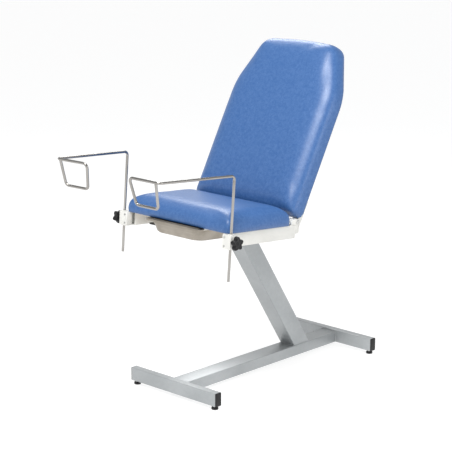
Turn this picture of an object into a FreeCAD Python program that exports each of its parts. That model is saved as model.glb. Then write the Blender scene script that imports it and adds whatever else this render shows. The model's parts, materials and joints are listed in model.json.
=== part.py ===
import FreeCAD
import Part
import math
import os

from FreeCAD import Placement, Rotation, Vector

# Gynecological chair on an H-shaped floor frame, in millimetres.
# +Z is up, the front of the chair looks along -Y and the sitter's left is +X.
# The origin is on the floor under the middle of the whole chair.

# Floor frame
BASE_SETBACK = 192.0       # the middle of the floor frame lies this far behind the origin
FOOT_SPACING = 1050.0      # front foot tube to rear foot tube
FOOT_LENGTH = 520.0        # over the end caps
FOOT_HEIGHT = 60.0
FOOT_WIDTH = 35.0
BEAM_WIDTH = 90.0          # the leaning column is as wide as the beam
BEAM_HEIGHT = 50.0
BASE_WALL = 2.0
TUBE_CORNER = 4.0          # outer corner radius of every square tube
FLOOR_GAP = 16.0           # floor to the underside of the foot tubes
CAP_PLATE = 4.0            # visible thickness of a plastic end cap
CAP_PLUG = 18.0            # depth of its plug inside the tube
LEVEL_INSET = 22.0         # levelling foot to the end of the foot tube
LEVEL_DISC = 30.0
LEVEL_DISC_HEIGHT = 10.0
LEVEL_STUD = 10.0
LEVEL_STUD_LENGTH = 28.0   # above the disc
NUT_FLATS = 17.0
NUT_HEIGHT = 5.0

# Leaning column and seat frame
COLUMN_DEPTH = 86.0
COLUMN_LEAN = 33.2         # degrees forward from upright
COLUMN_WALL = 3.0
COLUMN_HEAD_AHEAD = 71.0   # middle of the column's head ahead of the rails' rear ends
HEAD_PLATE = 8.0
HEAD_PLATE_WIDTH = 220.0
HEAD_PLATE_LENGTH = 124.0
CROSS_HEIGHT = 25.0
CROSS_WIDTH = 40.0
CROSS_REAR_AHEAD = 57.0    # rear cross tube's centre line ahead of the rails' rear ends
CROSS_SPACING = 62.0       # between the centre lines of the two cross tubes
HEAD_BOLT = 8.0
SEAT_FRONT = 523.4         # seat's front lower edge, ahead of the middle of the floor frame
SEAT_HEIGHT = 776.0        # and above the floor
SEAT_TILT = 4.8            # degrees, front raised
FRAME_WIDTH = 602.0        # over the seat rails
SEAT_WIDTH = 620.0         # both cushions stand a little over the rails
SEAT_DEPTH = 406.0
SEAT_THICKNESS = 78.0
RAIL_HEIGHT = 60.0
RAIL_WIDTH = 30.0
RAIL_WALL = 2.0
RAIL_PAST_SEAT = 33.0      # rail's rear end behind the seat cushion
BOARD_MARGIN = 14.0        # cushion edge to the plywood inside it
SEAT_BOARD = 15.0
BACK_BOARD = 12.0
PAD_FULLEST = 22.0         # height of a cushion's widest section
SEAT_SEAM_DRAW = 6.0       # how far the seams are drawn in under the widest section
BACK_SEAM_DRAW = 3.0
PAD_CORNER = 26.0          # corner radii of the cushions, seen square to them
SEAT_FRONT_CORNER = 32.0
BACK_SHOULDER_CORNER = 150.0
BACK_TOP_CORNER = 75.0

# Backrest, hinged at the rear ends of the rails
BACK_ANGLE = 60.9          # degrees from level, as photographed
BACK_LENGTH = 803.0
BACK_SHOULDER = 568.0      # where the sides start to draw in
BACK_TOP_WIDTH = 432.0
BACK_THICKNESS = 78.0
HINGE_RADIUS = 12.0        # rounded ends of the hinge brackets and arms
HINGE_PIN = 12.0
HINGE_HEIGHT = 11.3        # hinge axis above the rail
HINGE_BELOW_BACK = 13.0    # hinge axis below the lower end of the back cushion
HINGE_IN_BACK = 13.5       # and ahead of its rear face
BRACKET_PLATE = 12.0
BRACKET_REACH = 37.0       # bracket's front end ahead of the hinge axis
BRACKET_LEG = 40.0         # bracket's leg below the top of the rail
ARM_PLATE = 10.0
ARM_GAP = 2.0              # between bracket and arm
ARM_REACH = 90.0           # arm plate along the back tube
BACK_TUBE = 25.0
BACK_TUBE_WALL = 2.0
BACK_TUBE_TOP = 560.0
BACK_CROSS_LOW = 52.0      # centre lines of the back frame's cross tubes
BACK_CROSS_HIGH = 532.0
TORQUE_TUBE = 22.0
TORQUE_WALL = 3.0

# Gas spring that holds the backrest, beside the tray
SPRING_ASIDE = 36.5        # spring axis beside the tray's runner
CRANK_DROP = 50.0          # spring axis below the hinge axis
CRANK_REST = 30.0          # degrees rearward from square to the spring, as photographed
CRANK_SWING = 35.0         # largest angle from square, either way
CRANK_PLATE = 8.0
CRANK_WIDTH = 26.0
FORK_PIN = 10.0
SLOT_PLAY = 1.7            # play of the pin in the crank's slot
CYLINDER = 22.0
CYLINDER_WALL = 1.7
CYLINDER_LENGTH = 150.0
CYLINDER_GLAND = 15.0
FORK_LENGTH = 34.0         # pin to the end of the cylinder
FORK_SLOT = 25.0           # pin to the root of the fork
FORK_GAP = 1.0             # crank to fork cheek, each side
SPRING_ROD = 10.0
PISTON_LENGTH = 15.0
PISTON_INSIDE = 80.0       # rear face of the piston ahead of the cylinder's rear end
ROD_SHOWN = 116.0          # front end of the cylinder to the anchor plate's front face
ANCHOR_PLATE = 8.0
ANCHOR_WIDTH = 50.0
ANCHOR_DEPTH = 58.0
ANCHOR_FOOT = 46.0
VALVE_TIP = 7.0            # valve stem standing out of the anchor plate
EAR_PLATE = 4.0            # cheeks that carry the release lever
LEVER_WIDTH = 14.0
LEVER_PIN = 6.0
LEVER_BELOW = 13.0         # release lever's pivot below the spring axis
LEVER_AHEAD = 14.0         # and ahead of the anchor plate
LEVER_REACH = 62.0
LEVER_BAR = 6.0
PADDLE_WIDTH = 64.0
PADDLE_LENGTH = 26.0

# Leg supports of bent rod, held in clamps at the front of the rails
ROD = 12.0
ROD_OUTSIDE = 18.3         # upright part of the rod outside the rail
ROD_BELOW = 198.0          # lower end of the rod below the top of the rail
ARM_HEIGHT = 244.6         # centre of the arm above the top of the rail
ARM_LENGTH = 432.6
ROD_BEND = 18.0            # centre line radius of the bends
LOOP_TOP = 170.0           # upper edge of the leg loop
LOOP_DROP = 110.0
LOOP_SET_BACK = 32.0       # lower edge behind the upper one
LOOP_INNER_DRAW = 18.0     # inner side runs outward by this much
LOOP_END = 18.0            # wire end under the upper edge, from the arm
LOOP_OUTER_DRAW = 28.0     # outer lower corner, from the arm
RIGHT_RAISE = 16.0         # the sitter's right support is set higher in the photograph
RIGHT_TURN = 4.4           # degrees, and turned inward
CLAMP_DEPTH = 36.0
CLAMP_FRONT = 6.0          # clamp's face ahead of the seat's front edge
CLAMP_LAP = 14.0           # clamp over the end of the rail
CLAMP_OUTER_WALL = 5.2     # outside the bush, where the clamp screw threads
CLAMP_BELOW = 1.0          # clamp below the rail
CLAMP_ROUND = 3.0
CLAMP_BOSS = 20.0
CLAMP_BOSS_LENGTH = 5.0
CLAMP_SCREW = 6.0
BUSH_WALL = 2.3
BUSH_LIP = 3.0             # collar beyond the bush, on the radius
BUSH_COLLAR_HEIGHT = 2.0
KNOB_DROP = 32.0           # knob axis below the top of the rail
KNOB = 56.0
KNOB_LOBES = 5
KNOB_WAIST = 17.0          # radius of the hollows between the lobes
KNOB_HEAD = 18.0
KNOB_NECK = 22.0
KNOB_NECK_LENGTH = 5.0
KNOB_STUD = 8.0

# Instrument tray under the seat
TRAY_WIDTH = 325.0
TRAY_LENGTH = 265.0
TRAY_FRONT = 15.0          # flange ahead of the seat's front edge
TRAY_FLANGE = 12.5
TRAY_FLANGE_DROP = 4.0     # flange below the top of the rail
TRAY_DEPTH = 57.0
TRAY_WALL = 1.5
TRAY_CORNER = 45.0
TRAY_FLANGE_CORNER = 8.0
TRAY_DRAFT = 13.0          # how far each wall leans in at the bottom
TRAY_SHOULDER = 17.0       # stacking shoulder below the flange
TRAY_STEP = 3.0
TRAY_FOOT_BREAK = 6.0      # slanted foot between the walls and the floor of the pan
TRAY_HEM = 8.0             # turned-down front edge
RUNNER_WALL = 2.0
RUNNER_FOOT = 15.0
RUNNER_SHELF = 10.0
RUNNER_LENGTH = 255.0

# Clearances
SLIP = 0.2                 # a turning or sliding fit, on the radius
RUN = 0.3                  # between sliding flat faces
SIDE_PLAY = 1.0            # beside a moving edge
HOLE = 0.3                 # stud in its hole, on the radius

# Small screws with hexagon heads
SCREW_HEAD = 3.0
SCREW_FLATS = 9.0

# Places worked out from the sizes above
FOOT_TOP = FLOOR_GAP + FOOT_HEIGHT
BEAM_TOP = FLOOR_GAP + BEAM_HEIGHT
FRONT_FOOT_Y = BASE_SETBACK - FOOT_SPACING / 2
REAR_FOOT_Y = BASE_SETBACK + FOOT_SPACING / 2
SEAT_Y = BASE_SETBACK - SEAT_FRONT
RAIL_OUT = FRAME_WIDTH / 2
RAIL_IN = RAIL_OUT - RAIL_WIDTH
RAIL_REAR = SEAT_DEPTH + RAIL_PAST_SEAT
CROSS_REAR_V = RAIL_REAR - CROSS_REAR_AHEAD
CROSS_FRONT_V = CROSS_REAR_V - CROSS_SPACING
COLUMN_HEAD_V = RAIL_REAR - COLUMN_HEAD_AHEAD
CLAMP_REAR = CLAMP_DEPTH - CLAMP_FRONT
ROD_V = CLAMP_REAR - CLAMP_DEPTH / 2
ROD_X = RAIL_OUT + ROD_OUTSIDE
BUSH = ROD + 2 * SLIP + 2 * BUSH_WALL
BUSH_COLLAR = BUSH + 2 * BUSH_LIP
CLAMP_INNER_X = RAIL_OUT - CLAMP_LAP
CLAMP_HEIGHT = RAIL_HEIGHT + CLAMP_BELOW
CLAMP_OUT = ROD_X + BUSH / 2 + SLIP + CLAMP_OUTER_WALL
HINGE_V = RAIL_REAR + HINGE_RADIUS
ARM_OUT = RAIL_OUT - BRACKET_PLATE - ARM_GAP
ARM_IN = ARM_OUT - ARM_PLATE
SPRING_X = -(TRAY_WIDTH / 2 + SIDE_PLAY + RUNNER_FOOT + SPRING_ASIDE)
SPRING_N = HINGE_HEIGHT - CRANK_DROP
FORK_V = HINGE_V + CRANK_DROP * math.tan(math.radians(CRANK_REST))
CYLINDER_REAR = FORK_V - FORK_LENGTH
CYLINDER_FRONT = CYLINDER_REAR - CYLINDER_LENGTH
CYLINDER_BORE = CYLINDER - 2 * CYLINDER_WALL
PISTON = CYLINDER_BORE - 2 * RUN
PISTON_V = CYLINDER_REAR - PISTON_INSIDE
ANCHOR_V = CYLINDER_FRONT - ROD_SHOWN
LEVER_V = ANCHOR_V - LEVER_AHEAD
LEVER_N = SPRING_N - LEVER_BELOW
TRAY_REAR = TRAY_LENGTH - TRAY_FRONT
FLANGE_UNDER = -TRAY_FLANGE_DROP - TRAY_WALL
FAR = 3000.0               # reach of a cutting block, past everything

X = Vector(1, 0, 0)
Y = Vector(0, 1, 0)
Z = Vector(0, 0, 1)

# Seat pieces are drawn with Y rearward along the seat and Z square to it,
# from the front lower edge of the seat cushion.
SEAT_PLACE = Placement(Vector(0, SEAT_Y, SEAT_HEIGHT), Rotation(X, -SEAT_TILT))

# Back pieces are drawn with Y up the backrest and Z forward out of its rear face.
HINGE_POINT = SEAT_PLACE.multVec(Vector(0, HINGE_V, HINGE_HEIGHT))
BACK_TURN = Rotation(X, BACK_ANGLE)
BACK_ORIGIN = HINGE_POINT - BACK_TURN.multVec(Vector(0, -HINGE_BELOW_BACK, HINGE_IN_BACK))
BACK_PLACE = Placement(BACK_ORIGIN, BACK_TURN)


# Shape helpers

def box(x0, x1, y0, y1, z0, z1):
    return Part.makeBox(x1 - x0, y1 - y0, z1 - z0, Vector(x0, y0, z0))


def rod_along(start, axis, radius, length):
    return Part.makeCylinder(radius, length, start, axis)


def edges_along(shape, axis):
    found = []
    for edge in shape.Edges:
        if len(edge.Vertexes) == 2:
            run = edge.Vertexes[1].Point - edge.Vertexes[0].Point
            if run.Length > 0 and abs(run.dot(axis)) > 0.999 * run.Length:
                found.append(edge)
    return found


def rounded_box(corners, axis, radius):
    block = box(*corners)
    return block.makeFillet(radius, edges_along(block, axis))


def square_tube(corners, axis, wall):
    """A tube along one axis, open at both ends, filling the given box."""
    outer = rounded_box(corners, axis, TUBE_CORNER)
    inner = list(corners)
    for index, along in enumerate((axis.x, axis.y, axis.z)):
        shift = -wall if along else wall
        inner[2 * index] += shift
        inner[2 * index + 1] -= shift
    return outer.cut(box(*inner))


def hexagon_prism(centre, flats, height):
    corners = []
    for step in range(7):
        angle = math.radians(60 * step)
        corners.append(centre + Vector(math.cos(angle), math.sin(angle), 0) * (flats / math.sqrt(3)))
    return Part.Face(Part.makePolygon(corners)).extrude(Z * height)


def rounded_wire(points, radii, bend_end=True):
    """Lines joined by tangent arcs through corner points, closed when bend_end is true."""
    count = len(points)
    edges = []
    last = None
    first = None
    for index in range(count):
        here = points[index]
        if not bend_end and index in (0, count - 1):
            enter = leave = here
        else:
            back = (points[index - 1] - here).normalize()
            ahead = (points[(index + 1) % count] - here).normalize()
            half = math.acos(max(-1.0, min(1.0, back.dot(ahead)))) / 2
            run = radii[index] / math.tan(half)
            enter = here + back * run
            leave = here + ahead * run
            middle_way = (back + ahead).normalize()
            middle = here + middle_way * (radii[index] / math.sin(half) - radii[index])
        if last is not None:
            edges.append(Part.LineSegment(last, enter).toShape())
        if leave != enter:
            edges.append(Part.Arc(enter, middle, leave).toShape())
        if first is None:
            first = enter
        last = leave
    if bend_end:
        edges.append(Part.LineSegment(last, first).toShape())
    return Part.Wire(edges)


def inset_outline(points, inset):
    """Corner points of a convex, counter-clockwise outline with every side moved inward."""
    moved = []
    for index, here in enumerate(points):
        before = here - points[index - 1]
        after = points[(index + 1) % len(points)] - here
        normal_before = Vector(-before.y, before.x, 0).normalize()
        normal_after = Vector(-after.y, after.x, 0).normalize()
        turn = 1 + normal_before.dot(normal_after)
        moved.append(here + (normal_before + normal_after) * (inset / turn))
    return moved


def section(points, radii, inset, height):
    smallest = 10.0
    corners = [corner + Z * height for corner in inset_outline(points, inset)]
    return rounded_wire(corners, [max(radius - inset / 2, smallest) for radius in radii])


def padded_form(points, radii, levels):
    """A crowned pad: sections drawn in by the given amount at each height."""
    wires = [section(points, radii, inset, height) for height, inset in levels]
    return Part.makeLoft(wires, True, True)


def turned(profile, start, axis):
    """A turned piece: a profile of (along, radius) points spun about an axis."""
    points = [Vector(radius, 0, along) for along, radius in profile]
    face = Part.Face(Part.makePolygon(points + [points[0]]))
    piece = face.revolve(Vector(0, 0, 0), Z, 360)
    piece.Placement = Placement(start, Rotation(Z, axis))
    return piece


def bent_rod(points, diameter):
    """A round rod along straight runs and bends: cylinders joined by parts of a ring."""
    path = rounded_wire(points, [ROD_BEND] * len(points), bend_end=False)
    lengths = []
    for edge in path.Edges:
        start = edge.valueAt(edge.FirstParameter)
        ring = Part.Face(Part.Wire(Part.makeCircle(diameter / 2, start, edge.tangentAt(edge.FirstParameter))))
        if isinstance(edge.Curve, Part.Circle):
            turn = math.degrees(edge.LastParameter - edge.FirstParameter)
            lengths.append(ring.revolve(edge.Curve.Center, edge.Curve.Axis, turn))
        else:
            lengths.append(ring.extrude(edge.valueAt(edge.LastParameter) - start))
    return lengths[0].fuse(lengths[1:])


def placed(shape, placement):
    copy = shape.copy()
    copy.Placement = placement.multiply(copy.Placement)
    return copy


def on_seat(shape):
    return placed(shape, SEAT_PLACE)


def on_back(shape):
    return placed(shape, BACK_PLACE)


def mirrored(shape):
    return shape.mirror(Vector(0, 0, 0), X)


pieces = {}


def both_sides(name, shape):
    """The shape as drawn is on the +X side."""
    pieces[name + "_left"] = shape
    pieces[name + "_right"] = mirrored(shape)


# Floor frame

def foot_tube(y):
    half = FOOT_LENGTH / 2 - CAP_PLATE
    side = FOOT_WIDTH / 2
    tube = square_tube((-half, half, y - side, y + side, FLOOR_GAP, FOOT_TOP), X, BASE_WALL)
    for x in level_places():
        hole = rod_along(Vector(x, y, FLOOR_GAP - BASE_WALL), Z, LEVEL_STUD / 2 + HOLE, 3 * BASE_WALL)
        tube = tube.cut(hole)
    return tube


def level_places():
    reach = FOOT_LENGTH / 2 - LEVEL_INSET
    return (-reach, reach)


def foot_cap(y):
    end = FOOT_LENGTH / 2
    side = FOOT_WIDTH / 2
    plate_box = (end - CAP_PLATE, end, y - side, y + side, FLOOR_GAP, FOOT_TOP)
    plate = rounded_box(plate_box, X, TUBE_CORNER)
    plate = plate.makeChamfer(CAP_PLATE / 3, [e for e in plate.Edges if e.BoundBox.XMin > end - 0.01])
    inset = BASE_WALL + SLIP
    plug = rounded_box((end - CAP_PLATE - CAP_PLUG, end - CAP_PLATE, y - side + inset, y + side - inset,
                        FLOOR_GAP + inset, FOOT_TOP - inset), X, TUBE_CORNER - BASE_WALL)
    stud_room = rod_along(Vector(end - LEVEL_INSET, y, FLOOR_GAP), Z, LEVEL_STUD / 2 + SIDE_PLAY, FOOT_HEIGHT)
    return plate.fuse(plug.cut(stud_room))


def levelling_foot(x, y):
    chamfer = 2.0
    disc = LEVEL_DISC / 2
    stud = LEVEL_STUD / 2
    top = LEVEL_DISC_HEIGHT + LEVEL_STUD_LENGTH
    profile = [(0, 0), (0, disc), (LEVEL_DISC_HEIGHT - chamfer, disc), (LEVEL_DISC_HEIGHT, disc - chamfer),
               (LEVEL_DISC_HEIGHT, stud), (top, stud), (top, 0)]
    return turned(profile, Vector(x, y, 0), Z)


def levelling_nuts():
    nuts = []
    for y in (FRONT_FOOT_Y, REAR_FOOT_Y):
        for x in level_places():
            under = Vector(x, y, FLOOR_GAP - NUT_HEIGHT)
            nut = hexagon_prism(under, NUT_FLATS, NUT_HEIGHT)
            nuts.append(nut.cut(rod_along(under, Z, LEVEL_STUD / 2 + HOLE, NUT_HEIGHT)))
    return Part.makeCompound(nuts)


def column():
    """Square to its own length, then cut off along the beam's top and the head plate's underside."""
    half_width = BEAM_WIDTH / 2
    half_depth = COLUMN_DEPTH / 2
    head = SEAT_PLACE.multVec(Vector(0, COLUMN_HEAD_V, -CROSS_HEIGHT - HEAD_PLATE))
    reach = head.z / math.cos(math.radians(COLUMN_LEAN)) + COLUMN_DEPTH
    corners = (-half_width, half_width, -half_depth, half_depth, -reach, COLUMN_DEPTH)
    tube = square_tube(corners, Z, COLUMN_WALL)
    tube.Placement = Placement(head, Rotation(X, COLUMN_LEAN))
    above = on_seat(box(-FAR, FAR, -FAR, FAR, -CROSS_HEIGHT - HEAD_PLATE, FAR))
    below = box(-FAR, FAR, -FAR, FAR, -FAR, BEAM_TOP)
    return tube.cut(above).cut(below)


def head_bolt_places():
    spread = HEAD_PLATE_WIDTH / 2 - 2 * HEAD_BOLT
    return [(x, v) for x in (-spread, spread) for v in (CROSS_FRONT_V, CROSS_REAR_V)]


def head_plate():
    half = HEAD_PLATE_WIDTH / 2
    front = COLUMN_HEAD_V - HEAD_PLATE_LENGTH / 2
    corners = (-half, half, front, front + HEAD_PLATE_LENGTH, -CROSS_HEIGHT - HEAD_PLATE, -CROSS_HEIGHT)
    plate = rounded_box(corners, Z, 2 * TUBE_CORNER)
    for x, v in head_bolt_places():
        plate = plate.cut(rod_along(Vector(x, v, corners[4]), Z, HEAD_BOLT / 2, HEAD_PLATE))
    return on_seat(plate)


def head_bolts():
    """Each goes up through the plate and the lower wall of a cross tube."""
    under = -CROSS_HEIGHT - HEAD_PLATE
    head_height = 0.65 * HEAD_BOLT
    bolts = []
    for x, v in head_bolt_places():
        head = hexagon_prism(Vector(x, v, under - head_height), 1.6 * HEAD_BOLT, head_height)
        shank = rod_along(Vector(x, v, under), Z, HEAD_BOLT / 2, HEAD_PLATE + 5 * RAIL_WALL)
        bolts.append(head.fuse(shank))
    return on_seat(Part.makeCompound(bolts))


def cross_tube(v):
    half = CROSS_WIDTH / 2
    tube = square_tube((-RAIL_IN, RAIL_IN, v - half, v + half, -CROSS_HEIGHT, 0), X, RAIL_WALL)
    for x, bolt_v in head_bolt_places():
        if bolt_v == v:
            tube = tube.cut(rod_along(Vector(x, v, -CROSS_HEIGHT), Z, HEAD_BOLT / 2, RAIL_WALL))
    return on_seat(tube)


def base():
    beam_half = BEAM_WIDTH / 2
    beam_front = FRONT_FOOT_Y + FOOT_WIDTH / 2
    beam_rear = REAR_FOOT_Y - FOOT_WIDTH / 2
    pieces["front_foot_tube"] = foot_tube(FRONT_FOOT_Y)
    pieces["rear_foot_tube"] = foot_tube(REAR_FOOT_Y)
    pieces["floor_beam"] = square_tube((-beam_half, beam_half, beam_front, beam_rear, FLOOR_GAP, BEAM_TOP),
                                       Y, BASE_WALL)
    pieces["column"] = column()
    both_sides("front_foot_cap", foot_cap(FRONT_FOOT_Y))
    both_sides("rear_foot_cap", foot_cap(REAR_FOOT_Y))
    pieces["levelling_nuts"] = levelling_nuts()
    for name, y in (("front", FRONT_FOOT_Y), ("rear", REAR_FOOT_Y)):
        both_sides(name + "_levelling_foot", levelling_foot(FOOT_LENGTH / 2 - LEVEL_INSET, y))
    pieces["head_plate"] = head_plate()
    pieces["head_bolts"] = head_bolts()
    pieces["front_cross_tube"] = cross_tube(CROSS_FRONT_V)
    pieces["rear_cross_tube"] = cross_tube(CROSS_REAR_V)


# Seat

def seat_outline():
    half = SEAT_WIDTH / 2
    rear = SEAT_DEPTH
    return [Vector(-half, 0, 0), Vector(half, 0, 0), Vector(half, rear, 0), Vector(-half, rear, 0)]


def pad_levels(thickness, seam_draw):
    """Heights and draws of a pad: drawn in at the seam, full at the side, then rolled over to a crown."""
    crown_reach = 150.0
    crown_power = 4
    levels = [(0, seam_draw), (0.4 * PAD_FULLEST, 0.2 * seam_draw), (PAD_FULLEST, 0)]
    for draw in (1.5, 5.0, 11.0, 20.0, 34.0, 56.0, 90.0):
        rise = (1 - (1 - draw / crown_reach) ** crown_power) ** (1 / crown_power)
        levels.append((PAD_FULLEST + (thickness - PAD_FULLEST) * rise, draw))
    return levels


def seat_cushion():
    radii = [SEAT_FRONT_CORNER, SEAT_FRONT_CORNER, PAD_CORNER, PAD_CORNER]
    pad = padded_form(seat_outline(), radii, pad_levels(SEAT_THICKNESS, SEAT_SEAM_DRAW))
    return on_seat(pad.cut(seat_board_block()))


def seat_board_block():
    half = SEAT_WIDTH / 2 - BOARD_MARGIN
    corners = (-half, half, BOARD_MARGIN, SEAT_DEPTH - BOARD_MARGIN, 0, SEAT_BOARD)
    return rounded_box(corners, Z, 2 * BOARD_MARGIN)


def hinge_bracket():
    """Plate on the rail's rear end, with a leg behind the rail and a round eye on the hinge axis."""
    top = HINGE_HEIGHT + HINGE_RADIUS
    front = HINGE_V - BRACKET_REACH
    rear = HINGE_V + HINGE_RADIUS
    slope = 10.0
    diagonal = HINGE_RADIUS / math.sqrt(2)
    corners = [(front, 0), (RAIL_REAR, 0), (RAIL_REAR, -BRACKET_LEG), (rear, -BRACKET_LEG),
               (rear, HINGE_HEIGHT)]
    points = [Vector(RAIL_OUT - BRACKET_PLATE, v, n) for v, n in corners]
    crown = Vector(RAIL_OUT - BRACKET_PLATE, HINGE_V, top)
    shoulder = Vector(RAIL_OUT - BRACKET_PLATE, HINGE_V + diagonal, HINGE_HEIGHT + diagonal)
    ramp = Vector(RAIL_OUT - BRACKET_PLATE, front + slope, top)
    edges = [Part.LineSegment(a, b).toShape() for a, b in zip(points, points[1:])]
    edges.append(Part.Arc(points[-1], shoulder, crown).toShape())
    edges.append(Part.LineSegment(crown, ramp).toShape())
    edges.append(Part.LineSegment(ramp, Vector(ramp.x, front, slope)).toShape())
    edges.append(Part.LineSegment(Vector(ramp.x, front, slope), points[0]).toShape())
    plate = Part.Face(Part.Wire(edges)).extrude(X * BRACKET_PLATE)
    eye = rod_along(Vector(RAIL_OUT - BRACKET_PLATE, HINGE_V, HINGE_HEIGHT), X, HINGE_PIN / 2, BRACKET_PLATE)
    return plate.cut(eye)


def hinge_pin():
    head_height = 4.0
    head_radius = 0.8 * HINGE_PIN
    shank = RAIL_OUT - ARM_IN
    profile = [(0, 0), (0, HINGE_PIN / 2), (shank, HINGE_PIN / 2), (shank, head_radius),
               (shank + head_height / 2, head_radius), (shank + head_height, head_radius - head_height / 2),
               (shank + head_height, 0)]
    return turned(profile, Vector(ARM_IN, HINGE_V, HINGE_HEIGHT), X)


def rail_plugs():
    inset = RAIL_WALL + SLIP
    depth = 12.0
    plug = rounded_box((RAIL_IN + inset, RAIL_OUT - inset, RAIL_REAR - depth, RAIL_REAR,
                        -RAIL_HEIGHT + inset, -inset), Y, TUBE_CORNER - RAIL_WALL)
    return on_seat(Part.makeCompound([plug, mirrored(plug)]))


def seat():
    rail = square_tube((RAIL_IN, RAIL_OUT, CLAMP_REAR, RAIL_REAR, -RAIL_HEIGHT, 0), Y, RAIL_WALL)
    both_sides("seat_rail", on_seat(rail))
    pieces["rail_plugs"] = rail_plugs()
    pieces["seat_board"] = on_seat(seat_board_block())
    pieces["seat_cushion"] = seat_cushion()
    both_sides("hinge_bracket", on_seat(hinge_bracket()))
    both_sides("hinge_pin", on_seat(hinge_pin()))


# Backrest

def back_outline():
    half = SEAT_WIDTH / 2
    top = BACK_TOP_WIDTH / 2
    return [Vector(-half, 0, 0), Vector(half, 0, 0), Vector(half, BACK_SHOULDER, 0),
            Vector(top, BACK_LENGTH, 0), Vector(-top, BACK_LENGTH, 0), Vector(-half, BACK_SHOULDER, 0)]


def back_radii(inset):
    radii = (PAD_CORNER, PAD_CORNER, BACK_SHOULDER_CORNER, BACK_TOP_CORNER, BACK_TOP_CORNER,
             BACK_SHOULDER_CORNER)
    return [radius - inset for radius in radii]


def back_cushion():
    pad = padded_form(back_outline(), back_radii(0), pad_levels(BACK_THICKNESS, BACK_SEAM_DRAW))
    return on_back(pad.cut(back_board_block()))


def back_board_block():
    corners = inset_outline(back_outline(), BOARD_MARGIN)
    return Part.Face(rounded_wire(corners, back_radii(BOARD_MARGIN))).extrude(Z * BACK_BOARD)


def hinge_arm():
    """Plate from the hinge axis round the lower edge of the cushion to the back tube."""
    neck = HINGE_RADIUS - 2.0
    low = -HINGE_BELOW_BACK - neck
    eye_point = Vector(ARM_IN, -HINGE_BELOW_BACK, HINGE_IN_BACK)
    eye = rod_along(eye_point, X, HINGE_RADIUS, ARM_PLATE)
    drop = box(ARM_IN, ARM_OUT, low, -HINGE_BELOW_BACK + neck, -BACK_TUBE, HINGE_IN_BACK)
    run = box(ARM_IN, ARM_OUT, low, ARM_REACH, -BACK_TUBE, -SIDE_PLAY)
    plate = eye.fuse(drop).fuse(run).removeSplitter()
    return plate.cut(rod_along(eye_point, X, HINGE_PIN / 2 + SLIP, ARM_PLATE))


def torque_tube():
    length = 2 * ARM_IN
    start = Vector(-ARM_IN, -HINGE_BELOW_BACK, HINGE_IN_BACK)
    outer = rod_along(start, X, TORQUE_TUBE / 2, length)
    return outer.cut(rod_along(start, X, TORQUE_TUBE / 2 - TORQUE_WALL, length))


def back_cross_tube(u):
    half = BACK_TUBE / 2
    reach = ARM_IN - BACK_TUBE
    return square_tube((-reach, reach, u - half, u + half, -BACK_TUBE, 0), X, BACK_TUBE_WALL)


def back_screws():
    """Heads of the screws that go through the back tubes from behind, into the plywood."""
    screws = []
    heights = (BACK_CROSS_LOW + 2 * BACK_TUBE, (BACK_CROSS_LOW + BACK_CROSS_HIGH) / 2, BACK_CROSS_HIGH)
    for x in (BACK_TUBE / 2 - ARM_IN, ARM_IN - BACK_TUBE / 2):
        for u in heights:
            screws.append(hexagon_prism(Vector(x, u, -BACK_TUBE - SCREW_HEAD), SCREW_FLATS, SCREW_HEAD))
    return Part.makeCompound(screws)


def back_tube():
    return square_tube((ARM_IN - BACK_TUBE, ARM_IN, 0, BACK_TUBE_TOP, -BACK_TUBE, 0), Y, BACK_TUBE_WALL)


def crank():
    """Lever under the hinge tube with a slot along its length for the gas spring's pin."""
    far = CRANK_DROP / math.cos(math.radians(CRANK_SWING))
    half = CRANK_WIDTH / 2
    inner = SPRING_X - CRANK_PLATE / 2
    stem = box(inner, inner + CRANK_PLATE, -half, half, -far, 0)
    end = rod_along(Vector(inner, 0, -far), X, half, CRANK_PLATE)
    slot_half = FORK_PIN / 2 + SLOT_PLAY
    slot = box(inner, inner + CRANK_PLATE, -slot_half, slot_half, -far, -CRANK_DROP)
    for depth in (CRANK_DROP, far):
        slot = slot.fuse(rod_along(Vector(inner, 0, -depth), X, slot_half, CRANK_PLATE))
    lever = stem.fuse(end).removeSplitter().cut(slot.removeSplitter())
    hub = rod_along(Vector(inner, 0, 0), X, TORQUE_TUBE / 2, CRANK_PLATE)
    lever.Placement = Placement(Vector(0, HINGE_V, HINGE_HEIGHT), Rotation(X, CRANK_REST))
    hub.Placement = lever.Placement
    return on_seat(lever.cut(hub))


def backrest():
    pieces["back_cushion"] = back_cushion()
    pieces["back_board"] = on_back(back_board_block())
    both_sides("back_tube", on_back(back_tube()))
    pieces["lower_back_cross_tube"] = on_back(back_cross_tube(BACK_CROSS_LOW))
    pieces["upper_back_cross_tube"] = on_back(back_cross_tube(BACK_CROSS_HIGH))
    both_sides("hinge_arm", on_back(hinge_arm()))
    pieces["hinge_tube"] = on_back(torque_tube())
    pieces["back_screws"] = on_back(back_screws())
    pieces["spring_crank"] = crank()


# Gas spring and its release lever

def gas_cylinder():
    """Closed at the rear, with a gland round the rod at the front."""
    outer = CYLINDER / 2
    bore = CYLINDER_BORE / 2
    throat = SPRING_ROD / 2 + SLIP
    end_wall = 10.0
    profile = [(0, throat), (0, outer), (CYLINDER_LENGTH, outer), (CYLINDER_LENGTH, 0),
               (CYLINDER_LENGTH - end_wall, 0), (CYLINDER_LENGTH - end_wall, bore), (CYLINDER_GLAND, bore),
               (CYLINDER_GLAND, throat)]
    return on_seat(turned(profile, Vector(SPRING_X, CYLINDER_FRONT, SPRING_N), Y))


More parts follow.
